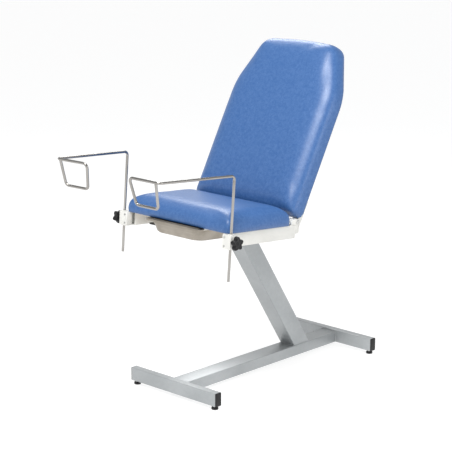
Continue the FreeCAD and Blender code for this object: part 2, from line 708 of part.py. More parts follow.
def gas_rod():
    """Piston rod with a collar behind the anchor plate and the valve stem in front of it."""
    rod = SPRING_ROD / 2
    tip = rod / 2
    collar = 0.8 * SPRING_ROD
    collar_end = ANCHOR_V + ANCHOR_PLATE + 6.0
    profile = [(ANCHOR_V - VALVE_TIP, 0), (ANCHOR_V - VALVE_TIP, tip), (ANCHOR_V, tip), (ANCHOR_V, rod),
               (ANCHOR_V + ANCHOR_PLATE, rod), (ANCHOR_V + ANCHOR_PLATE, collar), (collar_end, collar),
               (collar_end, rod), (PISTON_V - PISTON_LENGTH, rod), (PISTON_V - PISTON_LENGTH, PISTON / 2),
               (PISTON_V, PISTON / 2), (PISTON_V, 0)]
    return on_seat(turned(profile, Vector(SPRING_X, 0, SPRING_N), Y))


def spring_fork():
    half = CYLINDER / 2
    cheek_in = CRANK_PLATE / 2 + FORK_GAP
    round_end = rod_along(Vector(SPRING_X - half, FORK_V, SPRING_N), X, FORK_PIN, CYLINDER)
    body = box(SPRING_X - half, SPRING_X + half, CYLINDER_REAR, FORK_V,
               SPRING_N - FORK_PIN, SPRING_N + FORK_PIN)
    room = box(SPRING_X - cheek_in, SPRING_X + cheek_in, FORK_V - FORK_SLOT, FORK_V + 2 * FORK_PIN,
               SPRING_N - 2 * FORK_PIN, SPRING_N + 2 * FORK_PIN)
    fork = round_end.fuse(body).removeSplitter().cut(room)
    return on_seat(fork.cut(rod_along(Vector(SPRING_X - half, FORK_V, SPRING_N), X, FORK_PIN / 2, CYLINDER)))


def fork_pin():
    half = CYLINDER / 2
    head = 3.0
    profile = [(0, 0), (0, 0.75 * FORK_PIN), (head, 0.75 * FORK_PIN), (head, FORK_PIN / 2),
               (head + CYLINDER, FORK_PIN / 2), (head + CYLINDER, 0)]
    return on_seat(turned(profile, Vector(SPRING_X - half - head, FORK_V, SPRING_N), X))


def lever_ears():
    """Two ears on the anchor plate that carry the release lever's pivot."""
    ear = 8.0
    ears = []
    for side in (-1, 1):
        near = SPRING_X + side * (LEVER_WIDTH / 2 + SIDE_PLAY)
        start = min(near, near + side * EAR_PLATE)
        cheek = box(start, start + EAR_PLATE, LEVER_V, ANCHOR_V, LEVER_N - ear, LEVER_N + ear)
        cheek = cheek.fuse(rod_along(Vector(start, LEVER_V, LEVER_N), X, ear, EAR_PLATE)).removeSplitter()
        ears.append(cheek.cut(rod_along(Vector(start, LEVER_V, LEVER_N), X, LEVER_PIN / 2, EAR_PLATE)))
    return ears


def spring_anchor():
    half = ANCHOR_WIDTH / 2
    back = ANCHOR_V + ANCHOR_PLATE
    plate = box(SPRING_X - half, SPRING_X + half, ANCHOR_V, back, -ANCHOR_DEPTH, 0)
    foot = box(SPRING_X - half, SPRING_X + half, back, ANCHOR_V + ANCHOR_FOOT, -ANCHOR_PLATE, 0)
    anchor = plate.fuse(foot)
    for ear in lever_ears():
        anchor = anchor.fuse(ear)
    anchor = anchor.removeSplitter()
    bore = rod_along(Vector(SPRING_X, ANCHOR_V, SPRING_N), Y, SPRING_ROD / 2, ANCHOR_PLATE)
    return on_seat(anchor.cut(bore))


def release_lever():
    """Bell crank: a short arm in front of the valve stem and a paddle reaching forward under the seat."""
    half = LEVER_WIDTH / 2
    eye = 7.0
    valve_gap = 2.5
    arm_rear = ANCHOR_V - VALVE_TIP - valve_gap
    front = LEVER_V - LEVER_REACH
    hub = rod_along(Vector(SPRING_X - half, LEVER_V, LEVER_N), X, eye, LEVER_WIDTH)
    low = LEVER_N - LEVER_BAR / 2
    high = LEVER_N + LEVER_BAR / 2
    arm = box(SPRING_X - half, SPRING_X + half, arm_rear - LEVER_BAR, arm_rear,
              LEVER_N, SPRING_N + SPRING_ROD / 2)
    bar = box(SPRING_X - half, SPRING_X + half, front, LEVER_V, low, high)
    corners = (SPRING_X - PADDLE_WIDTH / 2, SPRING_X + PADDLE_WIDTH / 2,
               front - PADDLE_LENGTH / 2, front + PADDLE_LENGTH / 2, low, high)
    paddle = rounded_box(corners, Z, PADDLE_LENGTH / 3)
    lever = hub.fuse(arm).fuse(bar).fuse(paddle).removeSplitter()
    bore = rod_along(Vector(SPRING_X - half, LEVER_V, LEVER_N), X, LEVER_PIN / 2 + SLIP, LEVER_WIDTH)
    return on_seat(lever.cut(bore))


def lever_pin():
    half = LEVER_WIDTH / 2 + SIDE_PLAY + EAR_PLATE
    return on_seat(rod_along(Vector(SPRING_X - half, LEVER_V, LEVER_N), X, LEVER_PIN / 2, 2 * half))


def gas_spring():
    pieces["gas_cylinder"] = gas_cylinder()
    pieces["gas_spring_rod"] = gas_rod()
    pieces["spring_fork"] = spring_fork()
    pieces["fork_pin"] = fork_pin()
    pieces["spring_anchor"] = spring_anchor()
    pieces["release_lever"] = release_lever()
    pieces["lever_pin"] = lever_pin()


# Leg supports

def clamp_block():
    """Block on the rail's front end: an upright bore for the bush and a threaded boss for the knob."""
    corners = (CLAMP_INNER_X, CLAMP_OUT, -CLAMP_FRONT, CLAMP_REAR, -CLAMP_HEIGHT, 0)
    block = rounded_box(corners, Z, CLAMP_ROUND)
    boss = rod_along(Vector(CLAMP_OUT, ROD_V, -KNOB_DROP), X, CLAMP_BOSS / 2, CLAMP_BOSS_LENGTH)
    block = block.fuse(boss)
    block = block.cut(rod_along(Vector(ROD_X, ROD_V, -CLAMP_HEIGHT), Z, BUSH / 2 + SLIP, CLAMP_HEIGHT))
    outer_face = CLAMP_OUT + CLAMP_BOSS_LENGTH
    thread = rod_along(Vector(ROD_X, ROD_V, -KNOB_DROP), X, KNOB_STUD / 2 + HOLE, outer_face - ROD_X)
    block = block.cut(thread)
    for screw in clamp_screws():
        block = block.cut(screw)
    return block


def clamp_screws():
    """Two cap screws through the block's face into the end of the rail."""
    x = (CLAMP_INNER_X + ROD_X - BUSH / 2) / 2
    head = 0.8 * CLAMP_SCREW
    screws = []
    for n in (-CLAMP_HEIGHT / 5, -4 * CLAMP_HEIGHT / 5):
        profile = [(-1.0, 0), (-1.0, head), (CLAMP_SCREW, head), (CLAMP_SCREW, CLAMP_SCREW / 2),
                   (CLAMP_DEPTH, CLAMP_SCREW / 2), (CLAMP_DEPTH, 0)]
        screws.append(turned(profile, Vector(x, -CLAMP_FRONT, n), Y))
    return screws


def clamp_bush():
    bore = ROD / 2 + SLIP
    profile = [(-CLAMP_HEIGHT, bore), (-CLAMP_HEIGHT, BUSH / 2), (0, BUSH / 2), (0, BUSH_COLLAR / 2),
               (BUSH_COLLAR_HEIGHT, BUSH_COLLAR / 2), (BUSH_COLLAR_HEIGHT, bore)]
    return turned(profile, Vector(ROD_X, ROD_V, 0), Z)


def leg_support():
    """One rod: upright, forward arm, then round the leg loop until its end meets the upper edge."""
    front = ROD_V - ARM_LENGTH
    rear = front + LOOP_SET_BACK
    low = ARM_HEIGHT - LOOP_DROP
    corner = Vector(ROD_X - LOOP_OUTER_DRAW, rear, low)
    inner = ROD_X - LOOP_TOP
    path = [Vector(ROD_X, ROD_V, -ROD_BELOW), Vector(ROD_X, ROD_V, ARM_HEIGHT),
            Vector(ROD_X, front, ARM_HEIGHT), Vector(inner, front, ARM_HEIGHT),
            Vector(inner + LOOP_INNER_DRAW, rear, low), corner]
    end = Vector(ROD_X - LOOP_END, front, ARM_HEIGHT)
    bite = ROD / 4
    end = end + (corner - end).normalize() * bite
    middle = corner + (end - corner) / 2
    rod = bent_rod(path + [middle], ROD)
    return rod.fuse(rod_along(middle, end - middle, ROD / 2, (end - middle).Length)).removeSplitter()


def knob_outline():
    """Five round lobes joined by round hollows."""
    edges = []
    tip = KNOB / 2
    pitch = 2 * math.pi / KNOB_LOBES
    join = (tip + KNOB_WAIST) / 2

    def spot(radius, angle):
        return Vector(0, radius * math.cos(angle), radius * math.sin(angle))

    for lobe in range(KNOB_LOBES):
        middle = lobe * pitch + math.pi / 2
        enter = middle - 0.27 * pitch
        leave = middle + 0.27 * pitch
        edges.append(Part.Arc(spot(join, enter), spot(tip, middle), spot(join, leave)).toShape())
        hollow = middle + pitch / 2
        dip = Part.Arc(spot(join, leave), spot(KNOB_WAIST, hollow), spot(join, enter + pitch))
        edges.append(dip.toShape())
    return Part.Wire(edges)


def knob_place():
    return Vector(CLAMP_OUT + CLAMP_BOSS_LENGTH + SIDE_PLAY, ROD_V, -KNOB_DROP)


def star_knob():
    edge_break = 2.0
    head = Part.Face(knob_outline()).extrude(X * KNOB_HEAD)
    head = head.makeChamfer(edge_break, [e for e in head.Edges if e.BoundBox.XMin > KNOB_HEAD - 0.01])
    head.Placement = Placement(knob_place() + X * KNOB_NECK_LENGTH, Rotation())
    neck = rod_along(knob_place(), X, KNOB_NECK / 2, KNOB_NECK_LENGTH)
    return head.fuse(neck).removeSplitter().cut(knob_stud())


def knob_stud():
    """Threaded stud, its tip just short of the bush."""
    tip = ROD_X + BUSH / 2 + RUN
    length = knob_place().x + KNOB_NECK_LENGTH + KNOB_HEAD / 2 - tip
    return rod_along(Vector(tip, ROD_V, -KNOB_DROP), X, KNOB_STUD / 2, length)


def leg_supports():
    both_sides("rod_clamp", on_seat(clamp_block()))
    screws = clamp_screws()
    pieces["clamp_screws"] = on_seat(Part.makeCompound(screws + [mirrored(screw) for screw in screws]))
    both_sides("clamp_bush", on_seat(clamp_bush()))
    pieces["leg_support_left"] = on_seat(leg_support())
    raised = mirrored(leg_support())
    raised.rotate(Vector(-ROD_X, ROD_V, 0), Z, RIGHT_TURN)
    raised.translate(Z * RIGHT_RAISE)
    pieces["leg_support_right"] = on_seat(raised)
    both_sides("clamp_knob", on_seat(star_knob()))
    both_sides("knob_stud", on_seat(knob_stud()))


# Tray and its runners

def tray_outline(inset):
    half = TRAY_WIDTH / 2 - inset
    front = inset - TRAY_FRONT
    rear = TRAY_REAR - inset
    return [Vector(-half, front, 0), Vector(half, front, 0), Vector(half, rear, 0), Vector(-half, rear, 0)]


def tray_section(inset, height, corner_radius):
    corners = [corner + Z * height for corner in tray_outline(inset)]
    return rounded_wire(corners, [corner_radius] * 4)


def tray_body(wall):
    """Pan with a stacking shoulder. The same form drawn in by the wall gives the hollow."""
    top = -TRAY_FLANGE_DROP
    shoulder = top - TRAY_SHOULDER
    bottom = top - TRAY_DEPTH + wall
    step = TRAY_FLANGE + TRAY_STEP
    foot = TRAY_FLANGE + TRAY_DRAFT
    levels = [(top, TRAY_FLANGE), (shoulder, TRAY_FLANGE), (shoulder - TRAY_STEP, step),
              (bottom + TRAY_FOOT_BREAK, foot), (bottom, foot + TRAY_FOOT_BREAK)]
    sections = [tray_section(inset + wall, height, TRAY_CORNER) for height, inset in levels]
    return Part.makeLoft(sections, True, True)


def tray():
    top = -TRAY_FLANGE_DROP
    flange = Part.Face(tray_section(0, FLANGE_UNDER, TRAY_FLANGE_CORNER)).extrude(Z * TRAY_WALL)
    hem_half = TRAY_WIDTH / 2 - TRAY_FLANGE_CORNER
    hem = box(-hem_half, hem_half, -TRAY_FRONT, TRAY_WALL - TRAY_FRONT, top - TRAY_HEM, top)
    pan = tray_body(0).fuse(flange).fuse(hem)
    return on_seat(pan.cut(tray_body(TRAY_WALL)).removeSplitter())


def tray_runner():
    """Z-section screwed up under the seat board: foot, web and the shelf that the flange slides on."""
    web = TRAY_WIDTH / 2 + SIDE_PLAY
    shelf_top = FLANGE_UNDER - RUN
    foot = box(web, web + RUNNER_FOOT, BOARD_MARGIN, RUNNER_LENGTH, -RUNNER_WALL, 0)
    wall = box(web, web + RUNNER_WALL, BOARD_MARGIN, RUNNER_LENGTH, shelf_top - RUNNER_WALL, 0)
    shelf = box(web + RUNNER_WALL - RUNNER_SHELF, web + RUNNER_WALL, BOARD_MARGIN, RUNNER_LENGTH,
                shelf_top - RUNNER_WALL, shelf_top)
    return foot.fuse(wall).fuse(shelf).removeSplitter()


def runner_screws():
    x = TRAY_WIDTH / 2 + SIDE_PLAY + (RUNNER_WALL + RUNNER_FOOT) / 2
    screws = []
    for share in (0.2, 0.5, 0.8):
        v = BOARD_MARGIN + share * (RUNNER_LENGTH - BOARD_MARGIN)
        screws.append(hexagon_prism(Vector(x, v, -RUNNER_WALL - SCREW_HEAD), SCREW_FLATS, SCREW_HEAD))
    return on_seat(Part.makeCompound(screws + [mirrored(screw) for screw in screws]))


def tray_drawer():
    pieces["instrument_tray"] = tray()
    both_sides("tray_runner", on_seat(tray_runner()))
    pieces["runner_screws"] = runner_screws()


base()
seat()
backrest()
gas_spring()
leg_supports()
tray_drawer()

os.makedirs("parts", exist_ok=True)
for name, shape in pieces.items():
    shape.exportStep("parts/" + name + ".step")
    state = "valid" if shape.isValid() else "NOT VALID"
    print(name, len(shape.Solids), "solids", state, round(shape.Volume / 1000, 1), "cm3")
print(len(pieces), "pieces")
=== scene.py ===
import json
import math

import bmesh
import bpy
from mathutils import Matrix, Vector, noise


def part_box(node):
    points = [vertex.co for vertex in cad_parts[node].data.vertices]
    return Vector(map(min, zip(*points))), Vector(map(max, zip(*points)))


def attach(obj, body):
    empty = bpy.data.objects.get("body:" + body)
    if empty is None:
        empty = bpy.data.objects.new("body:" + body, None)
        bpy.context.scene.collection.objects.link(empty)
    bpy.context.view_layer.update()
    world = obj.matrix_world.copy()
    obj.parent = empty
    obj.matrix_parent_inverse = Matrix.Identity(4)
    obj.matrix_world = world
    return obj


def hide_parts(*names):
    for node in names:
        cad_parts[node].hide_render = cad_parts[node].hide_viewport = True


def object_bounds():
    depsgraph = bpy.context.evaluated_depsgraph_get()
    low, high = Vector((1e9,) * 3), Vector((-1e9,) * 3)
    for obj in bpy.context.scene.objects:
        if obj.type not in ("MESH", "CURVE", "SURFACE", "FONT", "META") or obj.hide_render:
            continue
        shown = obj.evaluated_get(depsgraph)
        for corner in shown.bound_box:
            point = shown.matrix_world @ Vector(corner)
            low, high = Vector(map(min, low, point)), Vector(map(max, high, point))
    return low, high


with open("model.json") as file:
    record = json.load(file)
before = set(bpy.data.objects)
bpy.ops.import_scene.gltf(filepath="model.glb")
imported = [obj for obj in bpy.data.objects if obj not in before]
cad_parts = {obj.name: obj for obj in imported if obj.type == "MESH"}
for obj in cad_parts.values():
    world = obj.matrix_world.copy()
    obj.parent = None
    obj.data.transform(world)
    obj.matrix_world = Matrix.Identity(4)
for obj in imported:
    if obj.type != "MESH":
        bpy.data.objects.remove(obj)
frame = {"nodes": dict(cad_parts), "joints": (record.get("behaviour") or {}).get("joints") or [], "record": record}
cad_low, cad_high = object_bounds()

# Looks of the gynecological chair, in metres, in the part's own frame:
# +Z is up, the front looks along -Y and the sitter's left is +X.

MM = 0.001
joints = {joint["name"]: joint for joint in frame["joints"]}

# The photograph's view
CAMERA_PLACE = Vector((4.7918, -5.0796, 2.4045))
CAMERA_AZIMUTH = math.radians(43.4)
CAMERA_ELEVATION = math.radians(13.7)
CAMERA_LENS = 130.3

# Local frames: the seat's has its X across, Y rearward along the seat and Z square to it,
# the back's has its X across, Y up the backrest and Z forward out of it.
SEAT_FORWARD = Vector(joints["tray_slide"]["axis"])
SEAT_TILT = math.atan2(SEAT_FORWARD.z, -SEAT_FORWARD.y)
BACK_ANGLE = math.radians(60.9)


def on_centre(joint):
    place = Vector(joints[joint]["pos_m"])
    return Vector((0, place.y, place.z))


SEAT_PLACE = Matrix.Translation(on_centre("left_leg_swivel")) @ Matrix.Rotation(-SEAT_TILT, 4, "X")
BACK_PLACE = Matrix.Translation(on_centre("back_tilt")) @ Matrix.Rotation(BACK_ANGLE, 4, "X")


def span(node, place):
    """Lowest and highest corner of a CAD node, measured along a local frame's axes."""
    inverse = place.inverted()
    points = [inverse @ vertex.co for vertex in frame["nodes"][node].data.vertices]
    low = Vector([min(point[axis] for point in points) for axis in range(3)])
    high = Vector([max(point[axis] for point in points) for axis in range(3)])
    return low, high


# Shader building

class Signal:
    """A shader socket that takes part in arithmetic: an expression on it adds its Math nodes."""

    def __init__(self, finish, socket):
        self.finish = finish
        self.socket = socket

    def math(self, operation, *others):
        return self.finish.node("Math", {"operation": operation}, dict(enumerate((self, *others))))

    def __add__(self, other):
        return self.math("ADD", other)

    def __mul__(self, other):
        return self.math("MULTIPLY", other)

    __radd__ = __add__
    __rmul__ = __mul__

    def between(self, low, high):
        """0 at low, 1 at high, smooth between them."""
        ends = {"Value": self, "From Min": low, "From Max": high}
        return self.finish.node("MapRange", {"interpolation_type": "SMOOTHSTEP"}, ends)

    def mix(self, first, second):
        """A colour between two, this signal being the share of the second."""
        settings = {"data_type": "RGBA"}
        return self.finish.node("Mix", settings, {"Factor": self, "A": first, "B": second}, "RGBA")


class Finish:
    """A material being made: one Principled shader and the nodes that feed it."""

    def __init__(self, name, **constants):
        self.material = bpy.data.materials.new(name)
        self.material.use_nodes = True
        self.tree = self.material.node_tree
        self.shader = self.tree.nodes["Principled BSDF"]
        for key, value in constants.items():
            self.set(key.replace("_", " ").title().replace("Ior", "IOR"), value)

    def feed(self, socket, value):
        if isinstance(value, Signal):
            self.tree.links.new(value.socket, socket)
        elif hasattr(socket.default_value, "__len__") and len(value) == 3 and len(socket.default_value) == 4:
            socket.default_value = (*value, 1)
        else:
            socket.default_value = value

    def set(self, key, value):
        self.feed(self.shader.inputs[key], value)

    def node(self, kind, settings, inputs, kept="first"):
        """One node: settings first, then inputs. A Mix node's colour sockets share names with others."""
        node = self.tree.nodes.new("ShaderNode" + kind)
        for key, value in settings.items():
            setattr(node, key, value)
        for key, value in inputs.items():
            self.feed(self.socket_named(node.inputs, key, kept), value)
        return Signal(self, self.socket_named(node.outputs, 0, kept))

    @staticmethod
    def socket_named(sockets, key, kept):
        if kept == "RGBA":
            shown = [s for s in sockets if s.enabled]
            return shown[key] if isinstance(key, int) else next(s for s in shown if s.name == key)
        return sockets[key]

    def place(self, turn=None):
        """Object coordinates, turned into a local frame where one is given."""
        coordinates = self.tree.nodes.new("ShaderNodeTexCoord")
        signal = Signal(self, coordinates.outputs["Object"])
        if turn is None:
            return signal
        inverse = turn.inverted()
        settings = {"vector_type": "POINT"}
        inputs = {"Vector": signal, "Location": inverse.to_translation(), "Rotation": inverse.to_euler()}
        return self.node("Mapping", settings, inputs)

    def stretched(self, place, scale):
        return self.node("Mapping", {}, {"Vector": place, "Scale": scale})

    def noise(self, place, scale, detail=2.0, roughness=0.5):
        inputs = {"Vector": place, "Scale": scale, "Detail": detail, "Roughness": roughness}
        return self.node("TexNoise", {}, inputs)

    def axis(self, place, name):
        parts = self.tree.nodes.new("ShaderNodeSeparateXYZ")
        self.tree.links.new(place.socket, parts.inputs[0])
        return Signal(self, parts.outputs[name])

    def bump(self, height, distance, strength=1.0):
        inputs = {"Height": height, "Distance": distance, "Strength": strength}
        self.set("Normal", self.node("Bump", {}, inputs))
        return self


def blue_vinyl():
    """Upholstery vinyl: a fine leather grain, pressed in, and a lightly mottled blue."""
    finish = Finish("blue_vinyl", specular_ior_level=0.62)
    place = finish.place()
    blots = finish.noise(place, 75.0, 3.0, 0.62)
    specks = finish.noise(place, 290.0, 2.0, 0.6)
    creases = finish.noise(place, 12.0, 2.0)
    mottle = (blots * 0.5 + specks * 0.5).between(0.30, 0.70)
    colour = mottle.mix((0.026, 0.100, 0.292), (0.066, 0.158, 0.375))
    finish.set("Base Color", colour)
    settings = {"feature": "SMOOTH_F1"}
    pebbles = finish.node("TexVoronoi", settings, {"Vector": place, "Scale": 560.0, "Smoothness": 0.35})
    finish.set("Roughness", 0.30 + 0.10 * specks + 0.06 * blots)
    return finish.bump(pebbles * 0.6 + specks * 0.3 + creases * 0.4, 0.35 * MM, 0.5).material


def silver_paint():
    """Silver-grey powder coat with its orange peel, a little dust and rubbed spots."""
    finish = Finish("silver_grey_paint", specular_ior_level=0.5, metallic=0.25)
    place = finish.place()
    peel = finish.noise(place, 420.0, 1.0)
    cloud = finish.noise(place, 5.0, 3.0)
    dust = finish.noise(place, 60.0, 4.0, 0.65)
    colour = (cloud * 0.7 + dust * 0.3).between(0.3, 0.7).mix((0.355, 0.375, 0.385), (0.435, 0.455, 0.465))
    finish.set("Base Color", colour)
    finish.set("Roughness", 0.30 + 0.16 * dust)
    return finish.bump(peel, 0.12 * MM, 0.35).material


def white_paint():
    """Warm white powder coat, semi-gloss."""
    finish = Finish("white_paint", specular_ior_level=0.5)
    place = finish.place()
    peel = finish.noise(place, 380.0, 1.0)
    cloud = finish.noise(place, 7.0, 3.0)
    finish.set("Base Color", cloud.between(0.3, 0.7).mix((0.70, 0.695, 0.655), (0.78, 0.775, 0.74)))
    finish.set("Roughness", 0.26 + 0.14 * finish.noise(place, 45.0, 3.0))
    return finish.bump(peel, 0.12 * MM, 0.35).material


def black_paint():
    finish = Finish("black_paint", specular_ior_level=0.5)
    place = finish.place()
    cloud = finish.noise(place, 30.0, 3.0)
    finish.set("Base Color", cloud.between(0.3, 0.7).mix((0.012, 0.012, 0.013), (0.028, 0.028, 0.03)))
    finish.set("Roughness", 0.28 + 0.2 * cloud)
    return finish.bump(finish.noise(place, 500.0, 1.0), 0.08 * MM, 0.4).material


def chrome():
    """Polished chrome with faint wiping marks."""
    finish = Finish("chrome_rod", metallic=1.0)
    place = finish.place()
    smear = finish.noise(place, 9.0, 3.0, 0.5)
    finish.set("Base Color", smear.between(0.3, 0.7).mix((0.36, 0.345, 0.325), (0.43, 0.415, 0.395)))
    finish.set("Roughness", 0.03 + 0.07 * smear)
    return finish.material


def stainless():
    """Deep-drawn stainless sheet: long satin strokes across the tray and a slightly warm tone."""
    finish = Finish("stainless_sheet", metallic=1.0)
    place = finish.place(SEAT_PLACE)
    strokes = finish.noise(finish.stretched(place, (6.0, 520.0, 520.0)), 1.0, 3.0, 0.6)
    cloud = finish.noise(place, 16.0, 2.0)
    tone = (strokes * 0.5 + cloud * 0.5).between(0.3, 0.7)
    finish.set("Base Color", tone.mix((0.28, 0.25, 0.208), (0.41, 0.372, 0.322)))
    finish.set("Roughness", 0.26 + 0.18 * strokes)
    return finish.bump(strokes, 0.05 * MM, 0.4).material


def zinc():
    """Zinc-plated steel, dull and a little blotched."""
    finish = Finish("zinc_plated_steel", metallic=1.0)
    place = finish.place()
    blotch = finish.noise(place, 90.0, 3.0)
    finish.set("Base Color", blotch.between(0.3, 0.7).mix((0.52, 0.52, 0.50), (0.68, 0.68, 0.67)))
    finish.set("Roughness", 0.26 + 0.2 * blotch)
    return finish.material


def black_plastic():
    """Moulded black plastic with a fine spark-eroded grain."""
    finish = Finish("black_plastic", specular_ior_level=0.3)
    place = finish.place()
    grain = finish.noise(place, 900.0, 2.0)
    scuff = finish.noise(place, 55.0, 4.0, 0.7)
    finish.set("Base Color", scuff.between(0.45, 0.8).mix((0.010, 0.010, 0.011), (0.030, 0.030, 0.031)))
    finish.set("Roughness", 0.34 + 0.2 * scuff)
    return finish.bump(grain, 0.15 * MM, 0.4).material


def white_plastic():
    finish = Finish("white_plastic", specular_ior_level=0.4)
    place = finish.place()
    cloud = finish.noise(place, 40.0, 3.0)
    finish.set("Base Color", cloud.between(0.3, 0.7).mix((0.74, 0.73, 0.69), (0.82, 0.81, 0.78)))
    finish.set("Roughness", 0.38 + 0.12 * cloud)
    return finish.bump(finish.noise(place, 700.0, 1.0), 0.1 * MM, 0.3).material


def plywood(name, turn):
    """Birch plywood: grain along the sheet's width, and its plies on the cut edges."""
    finish = Finish(name, specular_ior_level=0.3)
    place = finish.place(turn)
    grain = finish.noise(finish.stretched(place, (3.0, 70.0, 70.0)), 1.0, 5.0, 0.6)
    ply = (finish.axis(place, "Z") * (math.pi / (3.0 * MM))).math("SINE").between(-0.3, 0.3)
    colour = (grain * 0.75 + 0.25 * ply).between(0.25, 0.75).mix((0.42, 0.27, 0.14), (0.66, 0.49, 0.30))
    finish.set("Base Color", colour)
    finish.set("Roughness", 0.5 + 0.2 * grain)
    return finish.bump(grain, 0.2 * MM, 0.5).material


MATERIALS = {
    "blue_vinyl": blue_vinyl(), "silver_grey_paint": silver_paint(), "white_paint": white_paint(),
    "black_paint": black_paint(), "chrome_rod": chrome(), "stainless_sheet": stainless(),
    "zinc_plated_steel": zinc(), "black_plastic": black_plastic(), "white_plastic": white_plastic(),
}
BOARD_PLACES = {"seat_board": SEAT_PLACE, "back_board": BACK_PLACE}


# Carried-over CAD pieces: welded, their sharp edges broken, and painted

WELD_REACH = 0.004 * MM        # points of a CAD mesh this near are one
PLAIN_EDGE = 0.5 * MM
EDGES = {"plywood": 0.4 * MM, "chrome_rod": 0.6 * MM, "stainless_sheet": 0.25 * MM}


def dress_node(node, slot, edge):
    piece = frame["nodes"][node]
    material = plywood("plywood_" + node, BOARD_PLACES[node]) if node in BOARD_PLACES else MATERIALS[slot]
    piece.data.materials.clear()
    piece.data.materials.append(material)
    piece.data.shade_smooth()
    weld = piece.modifiers.new("join", "WELD")
    weld.merge_threshold = WELD_REACH
    flat = piece.modifiers.new("flats", "DECIMATE")
    flat.decimate_type = "DISSOLVE"
    flat.angle_limit = math.radians(0.5)
    bevel = piece.modifiers.new("edges", "BEVEL")
    bevel.width = edge
    bevel.segments = 2
    bevel.limit_method = "ANGLE"
    bevel.angle_limit = math.radians(35)
    bevel.harden_normals = True


for part in frame["record"]["subparts"]:
    dress_node(part["node"], part["material_slot"], EDGES.get(part["material_slot"], PLAIN_EDGE))


# Making new pieces

def finished(bm, name, body, slot, replaces=(), sharp=38):
    """Turns a bmesh, drawn in place, into a piece that rides on a body."""
    bmesh.ops.remove_doubles(bm, verts=bm.verts, dist=0.002 * MM)
    bmesh.ops.recalc_face_normals(bm, faces=bm.faces)
    for edge in bm.edges:
        edge.smooth = not edge.is_manifold or edge.calc_face_angle() < math.radians(sharp)
    for face in bm.faces:
        face.smooth = True
    mesh = bpy.data.meshes.new(name)
    bm.to_mesh(mesh)
    bm.free()
    mesh.materials.append(MATERIALS[slot])
    piece = bpy.data.objects.new(name, mesh)
    bpy.context.scene.collection.objects.link(piece)
    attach(piece, body)
    if replaces:
        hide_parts(*replaces)
    return piece


def gather(bm, other):
    """Adds another bmesh to this one and frees it."""
    mesh = bpy.data.meshes.new("gathered")
    other.to_mesh(mesh)
    other.free()
    bm.from_mesh(mesh)
    bpy.data.meshes.remove(mesh)


def rounded_face(bm, corners, radii, height):
    """A flat face through corner points, each of them rounded to its own radius."""
    face = bm.faces.new([bm.verts.new((x, y, height)) for x, y in corners])
    for vertex, radius in zip(list(face.verts), radii):
        first, second = [edge.other_vert(vertex).co - vertex.co for edge in vertex.link_edges]
        reach = radius / math.tan(first.angle(second) / 2)
        bmesh.ops.bevel(bm, geom=[vertex], offset=reach, affect="VERTICES", segments=10, profile=0.5,
                        material=-1)
    return next(iter(bm.faces))


def rolled(draw, rise, power, steps):
    """Steps of (draw, rise) along a quarter of a superellipse, from upright to level."""
    points = []
    for step in range(steps + 1):
        turn = math.pi / 2 * step / steps
        points.append((draw * (1 - math.cos(turn) ** (2 / power)), rise * math.sin(turn) ** (2 / power)))
    return [(b[0] - a[0], b[1] - a[1]) for a, b in zip(points, points[1:])]


def carried(bm, face, steps, radius=None):
    """Carries a face out along its normal and draws it in by insets, or by scaling if a radius is given."""
    for draw, rise in steps:
        inset = 0 if radius else draw
        bmesh.ops.inset_region(bm, faces=[face], thickness=inset, depth=rise, use_even_offset=True)
        if radius:
            bmesh.ops.scale(bm, vec=(1 - draw / radius, 1 - draw / radius, 1), verts=face.verts)


def closed_slab(bm, face, up, down, radius=None):
    """A closed form from one flat face: its upper and lower sides each follow a list of steps."""
    grown = bmesh.ops.extrude_face_region(bm, geom=[face])["geom"]
    top = next(item for item in grown if isinstance(item, bmesh.types.BMFace))
    bmesh.ops.translate(bm, verts=top.verts, vec=(0, 0, 0.2 * MM))
    bottom = next(other for other in bm.faces if other is not top and len(other.verts) == len(top.verts))
    bmesh.ops.recalc_face_normals(bm, faces=bm.faces)
    carried(bm, top, up, radius)
    carried(bm, bottom, down, radius)


# Cushions: vinyl drawn over foam on a board

PAD_FULLEST = 22 * MM          # height of a cushion's widest section
PAD_SLACK = 1 * MM             # the foam starts this much smaller and swells
PAD_CAP = 6 * MM               # furthest that a point may swell
PAD_VOXEL = 5 * MM
PAD_FRAMES = 20
PAD_PRESSURE = 4
PAD_STIFFNESS = 25
PAD_HELD = 4 * MM              # below this height the vinyl is held to the board
PAD_FLAT = 1 * MM              # below this height the smoothing leaves it flat
PAD_SMOOTHINGS = 22
BOARD_MARGIN = 14 * MM         # cushion edge to the plywood inside it
BOARD_INSIDE = 6 * MM          # the foam's underside, hidden in the plywood
CROWN_REACH = 125 * MM         # from the rim to where the crown is level
CROWN_BLEND = 14 * MM
SEAT_SIDE_FULL = 4 * MM        # the vinyl stands out past the foam drawn in the solid
SEAT_REAR_FULL = 5 * MM
SEAT_RADII = [32 * MM, 32 * MM, 27 * MM, 27 * MM]
SEAT_FORM = (6 * MM, 25 * MM, 26 * MM, 7 * MM)     # seam draw, roll, lift of the crown, over full
BACK_FORM = (4 * MM, 26 * MM, 20 * MM, 8 * MM)
BACK_SHOULDER = 568 * MM       # where the back's sides start to draw in
BACK_TOP_WIDTH = 432 * MM
BACK_ARCH = 11 * MM            # rise of the top edge in its middle
BACK_RADII = [28 * MM, 28 * MM, 260 * MM, 80 * MM, 1500 * MM, 80 * MM, 260 * MM]


def remeshed(piece):
    even = piece.modifiers.new("even", "REMESH")
    even.mode = "VOXEL"
    even.voxel_size = PAD_VOXEL
    bpy.context.view_layer.update()
    mesh = bpy.data.meshes.new_from_object(piece.evaluated_get(bpy.context.evaluated_depsgraph_get()))
    piece.modifiers.clear()
    piece.data = mesh


